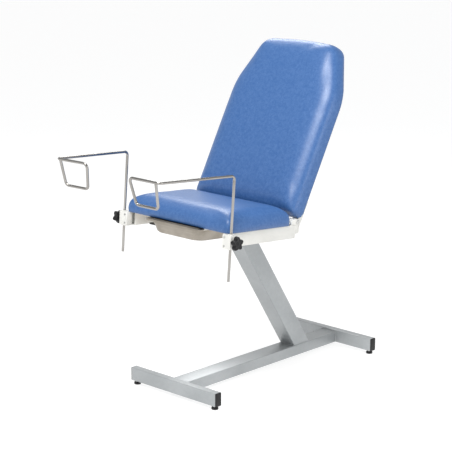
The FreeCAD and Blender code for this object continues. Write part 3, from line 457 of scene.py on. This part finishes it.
def swollen(piece):
    """Moves the points by what a pressure simulation gives, up to the cap, with the lower edge held."""
    group = piece.vertex_groups.new(name="held")
    group.add([v.index for v in piece.data.vertices if v.co.z < PAD_HELD], 1.0, "REPLACE")
    cloth = piece.modifiers.new("vinyl", "CLOTH")
    cloth.settings.vertex_group_mass = "held"
    cloth.settings.use_pressure = True
    cloth.settings.uniform_pressure_force = PAD_PRESSURE
    cloth.settings.effector_weights.gravity = 0
    cloth.settings.quality = 4
    cloth.settings.tension_stiffness = PAD_STIFFNESS
    cloth.settings.compression_stiffness = PAD_STIFFNESS
    cloth.settings.bending_stiffness = 2
    cloth.point_cache.frame_end = PAD_FRAMES
    scene = bpy.context.scene
    for step in range(1, PAD_FRAMES + 1):
        scene.frame_set(step)
    evaluated = piece.evaluated_get(bpy.context.evaluated_depsgraph_get())
    for vertex, moved in zip(piece.data.vertices, evaluated.data.vertices):
        shift = moved.co - vertex.co
        vertex.co += shift * min(1, PAD_CAP / max(shift.length, 1e-9))
    piece.modifiers.clear()
    scene.frame_set(1)


def depth_inside(point, corners):
    """How far a plan point lies inside an outline, softened where two sides are equally near."""
    total = 0
    for start, end in zip(corners, corners[1:] + corners[:1]):
        side = Vector(end) - Vector(start)
        inward = Vector((-side.y, side.x)).normalized()
        total += math.exp(-(point - Vector(start)).dot(inward) / CROWN_BLEND)
    return -CROWN_BLEND * math.log(total)


def upholstered(name, node, place, corners, radii, seam_draw, roll, lift, over_full):
    """A cushion in its local frame, then put in its place. Corners are those of its widest section."""
    low, high = span(node, place)
    bm = bmesh.new()
    face = rounded_face(bm, corners, radii, PAD_FULLEST)
    flat = high.z - low.z + over_full - PAD_SLACK - lift
    over = rolled(roll, flat - PAD_FULLEST, 2.2, 9)
    closed_slab(bm, face, over, rolled(seam_draw, PAD_FULLEST, 2.0, 4))
    mesh = bpy.data.meshes.new(name)
    bmesh.ops.triangulate(bm, faces=bm.faces)
    bm.to_mesh(mesh)
    bm.free()
    blank = bpy.data.objects.new(name + "_blank", mesh)
    bpy.context.scene.collection.objects.link(blank)
    remeshed(blank)
    for vertex in blank.data.vertices:
        share = max(0, (vertex.co.z - PAD_FULLEST) / (flat - PAD_FULLEST))
        inside = min(1, max(0, depth_inside(vertex.co.xy, corners) / CROWN_REACH))
        vertex.co.z += lift * share * inside * (2 - inside)
    swollen(blank)
    bm = bmesh.new()
    bm.from_mesh(blank.data)
    bpy.data.objects.remove(blank)
    axes = {"use_axis_x": True, "use_axis_y": True, "use_axis_z": True}
    for _ in range(PAD_SMOOTHINGS):
        loose = [v for v in bm.verts if v.co.z > PAD_FLAT]
        bmesh.ops.smooth_vert(bm, verts=loose, factor=0.5, **axes)
    for vertex in bm.verts:
        hollow = BOARD_INSIDE if depth_inside(vertex.co.xy, corners) > BOARD_MARGIN + 1 * MM else 0
        vertex.co.z = max(vertex.co.z, hollow)
    bmesh.ops.translate(bm, verts=bm.verts, vec=(0, low.y, low.z))
    bmesh.ops.transform(bm, matrix=place, verts=bm.verts)
    return bm


def seat_pad():
    low, high = span("seat_cushion", SEAT_PLACE)
    half = high.x + SEAT_SIDE_FULL - PAD_SLACK
    rear = high.y - low.y + SEAT_REAR_FULL - PAD_SLACK
    corners = [(-half, PAD_SLACK), (half, PAD_SLACK), (half, rear), (-half, rear)]
    bm = upholstered("seat_pad", "seat_cushion", SEAT_PLACE, corners, SEAT_RADII, *SEAT_FORM)
    piece = finished(bm, "seat_pad", "chair_frame", "blue_vinyl", ["seat_cushion"], sharp=180)


def back_corners(slack):
    """The backrest's outline, drawn in by the slack, from its lower edge up."""
    low, high = span("back_cushion", BACK_PLACE)
    half = high.x - slack
    top = BACK_TOP_WIDTH / 2 - slack
    head = high.y - low.y - slack
    return [(-half, slack), (half, slack), (half, BACK_SHOULDER), (top, head), (0, head + BACK_ARCH),
            (-top, head), (-half, BACK_SHOULDER)]


def back_pad():
    corners = back_corners(PAD_SLACK)
    bm = upholstered("back_pad", "back_cushion", BACK_PLACE, corners, BACK_RADII, *BACK_FORM)
    piece = finished(bm, "back_pad", "backrest", "blue_vinyl", ["back_cushion"], sharp=180)


seat_pad()
back_pad()


# Vinyl turned over onto the back board and stapled

BAND_IN = 6 * MM               # outer edge of the turned-over vinyl, from the cushion's edge
BAND_WIDTH = 24 * MM
BAND_THICK = 0.8 * MM
STAPLE = Vector((11 * MM, 1.0 * MM, 0.5 * MM))
STAPLE_PITCH = 27 * MM
STAPLE_SUNK = 0.2 * MM
STAPLE_LEAN = 0.16             # radians
STAPLE_TRIM = 0.35             # share of a corner's radius that is left free


def inset_corners(corners, inset):
    """An outline's corners after each side has moved inward."""
    moved = []
    for before, here, after in zip(corners[-1:] + corners, corners, corners[1:] + corners[:1]):
        first = (Vector(here) - Vector(before)).normalized()
        second = (Vector(after) - Vector(here)).normalized()
        inward = Vector((-first.y, first.x)) + Vector((-second.y, second.x))
        moved.append(Vector(here) + inward * (inset * 2 / inward.length_squared))
    return moved


def above_hinge_arms():
    """Where the side bands start, measured up from the cushion's lower edge."""
    return span("hinge_arm_left", BACK_PLACE)[1].y + 4 * MM - span("back_cushion", BACK_PLACE)[0].y


def turned_over_vinyl():
    """A band round the sides and top of the back board, and a strip between the back tubes at its foot."""
    corners = back_corners(0)
    tube = span("back_tube_left", BACK_PLACE)[0].x
    start = above_hinge_arms()
    bm = bmesh.new()
    face = rounded_face(bm, inset_corners(corners, BAND_IN), [r - BAND_IN for r in BACK_RADII], 0)
    bmesh.ops.inset_region(bm, faces=[face], thickness=BAND_WIDTH, use_boundary=True, use_even_offset=True)
    bmesh.ops.delete(bm, geom=[face], context="FACES")
    cut_from = bm.verts[:] + bm.edges[:] + bm.faces[:]
    bmesh.ops.bisect_plane(bm, geom=cut_from, plane_co=(0, start, 0), plane_no=(0, -1, 0), clear_outer=True)
    half = tube - 5 * MM
    upper = BAND_IN + BAND_WIDTH
    strip = ((-half, BAND_IN), (half, BAND_IN), (half, upper), (-half, upper))
    bm.faces.new([bm.verts.new((x, y, 0)) for x, y in strip])
    bmesh.ops.recalc_face_normals(bm, faces=bm.faces)
    if next(iter(bm.faces)).normal.z > 0:
        bmesh.ops.reverse_faces(bm, faces=bm.faces)
    bmesh.ops.solidify(bm, geom=bm.faces[:], thickness=-BAND_THICK)
    settle_behind_back(bm)
    finished(bm, "turned_over_vinyl", "backrest", "blue_vinyl")


def settle_behind_back(bm):
    """Moves flat work drawn on the plane of the back board's rear face to just behind that face."""
    low, high = span("back_board", BACK_PLACE)
    nearest = max(vertex.co.z for vertex in bm.verts)
    bmesh.ops.translate(bm, verts=bm.verts, vec=(0, low.y - BOARD_MARGIN, low.z - nearest))
    bmesh.ops.transform(bm, matrix=BACK_PLACE, verts=bm.verts)


def staples():
    """Wire staples along the middle of the turned-over vinyl."""
    corners = inset_corners(back_corners(0), BAND_IN + BAND_WIDTH / 2)
    tube = span("back_tube_left", BACK_PLACE)[0].x
    bm = bmesh.new()
    lowest = above_hinge_arms() + 12 * MM
    ends = corners[1:] + corners[:1]
    followers = BACK_RADII[1:] + BACK_RADII[:1]
    for number, (start, end, radius, following) in enumerate(zip(corners, ends, BACK_RADII, followers)):
        run = end - start
        trim = STAPLE_TRIM * min(120 * MM, max(radius, following))
        for step in range(int((run.length - 2 * trim) / STAPLE_PITCH) + 1):
            at = start + run.normalized() * (trim + step * STAPLE_PITCH)
            lower = number == 0
            if lower and abs(at.x) > tube - 14 * MM or not lower and at.y < lowest:
                continue
            lean = STAPLE_LEAN * math.sin(7.3 * step + 2.1 * number)
            turn = Matrix.Rotation(math.atan2(run.y, run.x) + lean, 4, "Z")
            size = Matrix.Diagonal((*STAPLE, 1))
            place = Matrix.Translation((at.x, at.y, -STAPLE_SUNK))
            bmesh.ops.create_cube(bm, size=1, matrix=place @ turn @ size)
    low, high = span("back_board", BACK_PLACE)
    behind = low.z - BAND_THICK
    bmesh.ops.translate(bm, verts=bm.verts, vec=(0, low.y - BOARD_MARGIN, behind))
    bmesh.ops.transform(bm, matrix=BACK_PLACE, verts=bm.verts)
    finished(bm, "vinyl_staples", "backrest", "zinc_plated_steel")


turned_over_vinyl()
staples()


# Star knobs of the rod clamps

KNOB_LOBES = 5
KNOB_TIP = 31 * MM
KNOB_WAIST = 20 * MM
KNOB_PROUD = 4 * MM            # how much longer than the plain solid
KNOB_NECK = 5 * MM             # from the clamp's boss to the head
KNOB_NECK_RADIUS = 11 * MM
KNOB_NECK_FLARE = 1.5 * MM
INSERT_RADIUS = 6.5 * MM


def outward_from_clamp(side, start):
    """A frame with Z out of the chair along a knob's axis, from a distance off the middle."""
    place = Vector(joints[side + "_knob_turn"]["pos_m"])
    way = 1 if side == "left" else -1
    turn = Matrix.Rotation(math.radians(90 * way), 4, "Y")
    return Matrix.Translation((way * start, place.y, place.z)) @ turn


def knob(side):
    low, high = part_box("clamp_knob_" + side)
    inner = min(abs(low.x), abs(high.x))
    outer = max(abs(low.x), abs(high.x)) + KNOB_PROUD
    head = outer - inner - KNOB_NECK
    bm = bmesh.new()
    bmesh.ops.create_circle(bm, cap_ends=True, segments=120, radius=1)
    for vertex in bm.verts:
        angle = math.atan2(vertex.co.y, vertex.co.x)
        swell = 0.5 + 0.5 * math.cos(KNOB_LOBES * (angle - math.pi))
        vertex.co *= KNOB_WAIST + (KNOB_TIP - KNOB_WAIST) * swell ** 0.8
        vertex.co.z = KNOB_NECK + 0.42 * head
    dish = [(2.5 * MM, -0.4 * MM), (1.5 * MM, -0.8 * MM)]
    up = [(0.3 * MM, 0.18 * head)] + rolled(4.5 * MM, 0.40 * head, 2.0, 7) + dish
    down = [(0.3 * MM, 0.2 * head)] + rolled(3.0 * MM, 0.21 * head, 2.0, 5)
    closed_slab(bm, next(iter(bm.faces)), up, down, KNOB_TIP)
    depth = KNOB_NECK + 1 * MM
    flared = KNOB_NECK_RADIUS + KNOB_NECK_FLARE
    bmesh.ops.create_cone(bm, cap_ends=True, segments=64, radius1=KNOB_NECK_RADIUS, radius2=flared,
                          depth=depth, matrix=Matrix.Translation((0, 0, depth / 2)))
    bmesh.ops.transform(bm, matrix=outward_from_clamp(side, inner), verts=bm.verts)
    finished(bm, "star_knob_" + side, "clamp_knob_" + side, "black_plastic", ["clamp_knob_" + side])
    bm = bmesh.new()
    bmesh.ops.create_circle(bm, cap_ends=True, segments=48, radius=INSERT_RADIUS)
    closed_slab(bm, next(iter(bm.faces)), rolled(2.2 * MM, 1.3 * MM, 2.0, 5), [(0.2 * MM, 3 * MM)])
    bmesh.ops.transform(bm, matrix=outward_from_clamp(side, outer - 1.0 * MM), verts=bm.verts)
    finished(bm, "knob_insert_" + side, "clamp_knob_" + side, "black_plastic")


knob("left")
knob("right")


# Front edge of the tray

HEM_RIDGES = [(2.2 * MM, 3.6 * MM, 1.5 * MM), (9.5 * MM, 4.0 * MM, 4.0 * MM)]  # set back, width, height
HEM_ENDS = 9 * MM


def tray_hem():
    """The rolled front edge of the tray's flange and a ridge pressed along it."""
    low, high = span("instrument_tray", SEAT_PLACE)
    bm = bmesh.new()
    for back, width, height in HEM_RIDGES:
        ridge = bmesh.new()
        half = high.x - HEM_ENDS
        front = low.y + back - width / 2
        rear = low.y + back + width / 2
        corners = [(-half, front), (half, front), (half, rear), (-half, rear)]
        face = rounded_face(ridge, corners, [0.46 * width] * 4, high.z)
        closed_slab(ridge, face, rolled(0.42 * width, height, 2.0, 6), [(0.02 * width, 0.1 * MM)])
        gather(bm, ridge)
    bmesh.ops.transform(bm, matrix=SEAT_PLACE, verts=bm.verts)
    finished(bm, "tray_hem", "instrument_tray", "stainless_sheet")


tray_hem()


# Cap screws in the clamps' faces

def solids_of(node, place):
    """Lowest and highest corners of each separate solid of a CAD node, along a local frame's axes."""
    bm = bmesh.new()
    bm.from_mesh(frame["nodes"][node].data)
    bmesh.ops.remove_doubles(bm, verts=bm.verts, dist=WELD_REACH)
    bmesh.ops.transform(bm, matrix=place.inverted(), verts=bm.verts)
    waiting = set(bm.verts)
    found = []
    while waiting:
        group = [waiting.pop()]
        for vertex in group:
            beside = {edge.other_vert(vertex) for edge in vertex.link_edges} & waiting
            waiting -= beside
            group.extend(beside)
        found.append([Vector([pick(v.co[axis] for v in group) for axis in range(3)]) for pick in (min, max)])
    bm.free()
    return found


SCREW_RISE = 0.9 * MM          # rounded edge of a cap screw's head
SCREW_DEPTH = 6 * MM
SOCKET_SHARE = 0.56            # of the head's radius
SOCKET_DEPTH = 3 * MM


def cap_screws():
    bm = bmesh.new()
    for low, high in solids_of("clamp_screws", SEAT_PLACE):
        radius = (high.x - low.x) / 2
        head = bmesh.new()
        bmesh.ops.create_circle(head, cap_ends=True, segments=36, radius=radius)
        closed_slab(head, next(iter(head.faces)), rolled(SCREW_RISE, SCREW_RISE, 2.0, 4),
                    [(0.05 * MM, SCREW_DEPTH)])
        top = max(head.faces, key=lambda face: face.calc_center_median().z)
        rim = list(top.edges)
        level = top.calc_center_median().z
        bmesh.ops.delete(head, geom=[top], context="FACES_ONLY")
        socket = bmesh.ops.create_circle(head, cap_ends=True, segments=6, radius=SOCKET_SHARE * radius,
                                         matrix=Matrix.Translation((0, 0, level)))["verts"]
        floor = socket[0].link_faces[0]
        bmesh.ops.bridge_loops(head, edges=rim + list(floor.edges))
        sunk = bmesh.ops.extrude_face_region(head, geom=[floor])["geom"]
        deep = [v for v in sunk if isinstance(v, bmesh.types.BMVert)]
        bmesh.ops.translate(head, verts=deep, vec=(0, 0, -SOCKET_DEPTH))
        bmesh.ops.delete(head, geom=[floor] if floor.is_valid else [], context="FACES_ONLY")
        middle = (low + high) / 2
        seated = Matrix.Translation((middle.x, low.y + SCREW_RISE, middle.z))
        outward = seated @ Matrix.Rotation(math.radians(90), 4, "X")
        bmesh.ops.transform(head, matrix=SEAT_PLACE @ outward, verts=head.verts)
        gather(bm, head)
    finished(bm, "clamp_cap_screws", "chair_frame", "zinc_plated_steel", ["clamp_screws"], sharp=30)


cap_screws()


# Weld beads of the frame

BEAM_BEAD = 3.2 * MM           # radii
COLUMN_BEAD = 3.6 * MM
COLUMN_SIDE_BEAD = 1.8 * MM
HEAD_BEAD = 3.4 * MM
HEAD_SIDE_BEAD = 3.0 * MM
RAIL_BEAD = 2.6 * MM
RAIL_SIDE_BEAD = 2.4 * MM
BACK_BEAD = 1.8 * MM
BACK_SIDE_BEAD = 2.2 * MM
BEAD_PITCH = 0.9 * MM          # from ring to ring
BEAD_END = 0.3                 # share of the radius at an end


def bead(bm, place, start, end, radius):
    """A rippled bead from one point to another of a local frame, its ends rounded off."""
    start = place @ Vector(start)
    end = place @ Vector(end)
    run = end - start
    turn = run.to_track_quat("Z", "Y").to_matrix().to_4x4()
    rings = max(8, int(run.length / BEAD_PITCH))
    size = BEAD_END * radius
    first = Matrix.Translation(start) @ turn
    made = bmesh.ops.create_circle(bm, cap_ends=True, segments=9, radius=size, matrix=first)
    edges = list({edge for vertex in made["verts"] for edge in vertex.link_edges})
    for ring in range(1, rings + 1):
        share = ring / rings
        swell = min(1, 12 * min(share, 1 - share) * run.length / (60 * MM) + 0.35)
        ripple = 1 + 0.11 * math.sin(ring * 2.1) + 0.10 * noise.noise(start + run * share * 60)
        grown = bmesh.ops.extrude_edge_only(bm, edges=edges)["geom"]
        verts = [item for item in grown if isinstance(item, bmesh.types.BMVert)]
        edges = [item for item in grown if isinstance(item, bmesh.types.BMEdge)]
        bmesh.ops.translate(bm, verts=verts, vec=run / rings)
        centre = Matrix.Translation(start + run * share)
        factor = radius * swell * ripple / size
        bmesh.ops.scale(bm, verts=verts, vec=(factor, factor, factor), space=centre.inverted())
        size = radius * swell * ripple
    bmesh.ops.holes_fill(bm, edges=edges)


def floor_welds():
    """Column to beam and head plate, and beam to the two foot tubes."""
    bm = bmesh.new()
    here = Matrix()
    low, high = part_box("floor_beam")
    side = high.x
    for y in (low.y, high.y):
        for x in (-side, side):
            bead(bm, here, (x, y, low.z + 3 * MM), (x, y, high.z - 1 * MM), BEAM_BEAD)
        bead(bm, here, (2 * MM - side, y, high.z), (side - 2 * MM, y, high.z), BEAM_BEAD)
    foot = [v.co.y for v in frame["nodes"]["column"].data.vertices if v.co.z < high.z + 0.5 * MM]
    for y in (min(foot), max(foot)):
        bead(bm, here, (3 * MM - side, y, high.z), (side - 3 * MM, y, high.z), COLUMN_BEAD)
    for x in (-side, side):
        bead(bm, here, (x, min(foot) + 3 * MM, high.z), (x, max(foot) - 3 * MM, high.z), COLUMN_SIDE_BEAD)
    inverse = SEAT_PLACE.inverted()
    plate = span("head_plate", SEAT_PLACE)[0].z
    head = [inverse @ v.co for v in frame["nodes"]["column"].data.vertices]
    rim = [point.y for point in head if point.z > plate - 0.5 * MM]
    for v in (min(rim), max(rim)):
        bead(bm, SEAT_PLACE, (3 * MM - side, v, plate), (side - 3 * MM, v, plate), HEAD_BEAD)
    for x in (-side, side):
        bead(bm, SEAT_PLACE, (x, min(rim) + 3 * MM, plate), (x, max(rim) - 3 * MM, plate), HEAD_SIDE_BEAD)
    finished(bm, "floor_frame_welds", "chair_frame", "silver_grey_paint")


def seat_welds():
    """Cross tubes to the rails."""
    bm = bmesh.new()
    for node in ("front_cross_tube", "rear_cross_tube"):
        low, high = span(node, SEAT_PLACE)
        for x in (low.x, high.x):
            bead(bm, SEAT_PLACE, (x, low.y + 2 * MM, low.z), (x, high.y - 2 * MM, low.z), RAIL_BEAD)
            for v in (low.y, high.y):
                bead(bm, SEAT_PLACE, (x, v, low.z + 2 * MM), (x, v, high.z - 3 * MM), RAIL_SIDE_BEAD)
    finished(bm, "seat_frame_welds", "chair_frame", "white_paint")


def back_welds():
    """Cross tubes and hinge arms to the back tubes, seen from behind."""
    bm = bmesh.new()
    for node in ("lower_back_cross_tube", "upper_back_cross_tube"):
        low, high = span(node, BACK_PLACE)
        for x in (low.x, high.x):
            bead(bm, BACK_PLACE, (x, low.y + 1 * MM, low.z), (x, high.y - 1 * MM, low.z), BACK_BEAD)
            for u in (low.y, high.y):
                bead(bm, BACK_PLACE, (x, u, low.z + 2 * MM), (x, u, high.z - 3 * MM), BACK_SIDE_BEAD)
    for side in ("left", "right"):
        low, high = span("hinge_arm_" + side, BACK_PLACE)
        inner = low.x if side == "left" else high.x
        bead(bm, BACK_PLACE, (inner, 16 * MM, low.z), (inner, high.y - 3 * MM, low.z), BACK_BEAD)
    finished(bm, "back_frame_welds", "backrest", "white_paint")


floor_welds()
seat_welds()
back_welds()


# Studio

LAMPS = [                      # name, place, size and power
    ("key", (1.2, -2.4, 5.0), 1.8, 225),
    ("side", (4.8, 0.8, 2.2), 1.6, 34),
    ("rear", (-2.4, 2.4, 3.6), 1.6, 60),
]
SKY = [(0.0, 0.86), (0.08, 0.86), (0.22, 0.50), (0.50, 0.42), (0.75, 0.55), (1.0, 0.60)]  # height, light


def studio():
    bpy.ops.mesh.primitive_plane_add(size=60)
    floor = bpy.context.object
    floor.name = "floor"
    paint = Finish("floor_paint", roughness=0.7, specular_ior_level=0.15, emission_strength=0.78)
    paint.set("Base Color", (0.32, 0.32, 0.32))
    paint.set("Emission Color", (1.0, 1.0, 1.0))
    floor.data.materials.append(paint.material)
    world = bpy.data.worlds.new("studio")
    bpy.context.scene.world = world
    bpy.context.scene.view_settings.view_transform = "Standard"
    world.use_nodes = True
    nodes = world.node_tree.nodes
    links = world.node_tree.links
    direction = nodes.new("ShaderNodeTexCoord")
    height = nodes.new("ShaderNodeSeparateXYZ")
    ramp = nodes.new("ShaderNodeValToRGB")
    links.new(direction.outputs["Generated"], height.inputs[0])
    links.new(height.outputs["Z"], ramp.inputs["Fac"])
    links.new(ramp.outputs["Color"], nodes["Background"].inputs["Color"])
    while len(ramp.color_ramp.elements) < len(SKY):
        ramp.color_ramp.elements.new(0.5)
    for element, (place, light) in zip(ramp.color_ramp.elements, SKY):
        element.position = place
        element.color = (light * 0.98, light * 0.99, light, 1)
    middle = (cad_low + cad_high) / 2
    for name, place, size, power in LAMPS:
        light = bpy.data.lights.new(name, "AREA")
        light.size = size
        light.energy = power
        lamp = bpy.data.objects.new(name, light)
        bpy.context.scene.collection.objects.link(lamp)
        lamp.location = place
        lamp.visible_camera = False
        lamp.rotation_euler = (middle - Vector(place)).to_track_quat("-Z", "Y").to_euler()


def photograph():
    camera = bpy.data.objects.new("camera", bpy.data.cameras.new("camera"))
    bpy.context.scene.collection.objects.link(camera)
    level = math.cos(CAMERA_ELEVATION)
    across = math.sin(CAMERA_AZIMUTH) * level
    back = Vector((across, -math.cos(CAMERA_AZIMUTH) * level, math.sin(CAMERA_ELEVATION)))
    camera.location = CAMERA_PLACE
    camera.rotation_euler = back.to_track_quat("Z", "Y").to_euler()
    camera.data.lens = CAMERA_LENS
    camera.data.sensor_width = 36
    camera.data.clip_end = 100
    bpy.context.scene.camera = camera


studio()
photograph()
